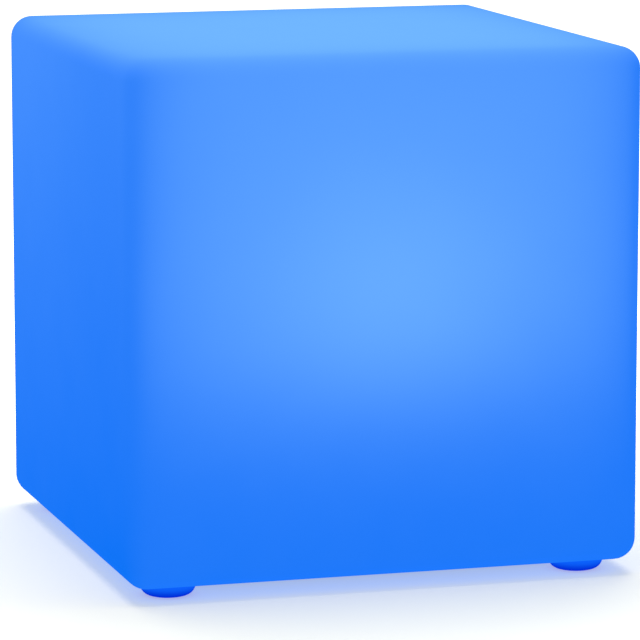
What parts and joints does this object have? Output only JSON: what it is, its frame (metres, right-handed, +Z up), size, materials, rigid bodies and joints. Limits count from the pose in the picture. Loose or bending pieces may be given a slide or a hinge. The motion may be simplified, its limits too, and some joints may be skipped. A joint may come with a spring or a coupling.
{
  "type": "cube light",
  "caption": "Hollow rounded cube light on low round feet, with a screwed-in rechargeable LED module underneath.",
  "frame": {"origin": "on the ground, under the cube's middle", "axes": "+Z up through the middle of the seat; -Y is the side that faces the viewer most squarely; +X to that viewer's right"},
  "size_m": [0.4, 0.4, 0.402],
  "materials": {
    "shell": "satin, translucent, lit from inside in blue",
    "foot": "satin, translucent, lit through the floor",
    "module_plastic": "satin",
    "diffuser": "frosted",
    "soft_seal": "matt",
    "silicone": "soft matt",
    "steel": "bright zinc",
    "brass": "turned",
    "nickel": "bright",
    "cell_wrap": "shrunk film",
    "board": "solder mask",
    "led_board": "white solder mask",
    "chip": "moulded",
    "led": "clear resin over white body",
    "black_plastic": "satin",
    "connector": "natural nylon",
    "button": "satin",
    "light_pipe": "clear acrylic",
    "lead": "flexible sheath"
  },
  "bodies": {
    "light": {"shell": "shell", "feet": "foot", "module_inserts": "brass", "module_gasket": "soft_seal", "module_base": "module_plastic", "module_screws": "steel", "battery_cradle": "black_plastic", "battery_cell_left": "cell_wrap", "battery_cell_right": "cell_wrap", "battery_tabs": "nickel", "control_board": "board", "control_chip": "chip", "drive_transistors": "chip", "charge_inductor": "chip", "storage_capacitor": "black_plastic", "lead_headers": "connector", "lead_plugs": "connector", "led_tray": "module_plastic", "led_board": "led_board", "led_chips": "led", "light_dome": "diffuser", "dome_seal": "soft_seal", "socket_body": "black_plastic", "socket_pin": "nickel", "socket_pins": "nickel", "cover_anchor": "silicone", "switch_housing": "module_plastic", "return_boot": "silicone", "switch_block": "black_plastic", "switch_pins": "nickel", "charge_light_pipe": "light_pipe", "battery_lead": "lead", "led_lead": "lead"},
    "button": {"power_button": "button"},
    "cover": {"port_cover": "silicone"}
  },
  "joints": [
    {"name": "button_push", "type": "slide", "parent": "light", "child": "button", "axis": [0, 0, 1], "range_m": [0, 0.0015], "stiffness_N_per_m": 800, "springref_m": -0.001, "deforming": ["return_boot"]},
    {"name": "cover_hinge", "type": "hinge", "parent": "light", "child": "cover", "pos_m": [0.024, 0.028, 0.0115], "axis": [1, 0, 0], "range_deg": [0, 150]}
  ]
}
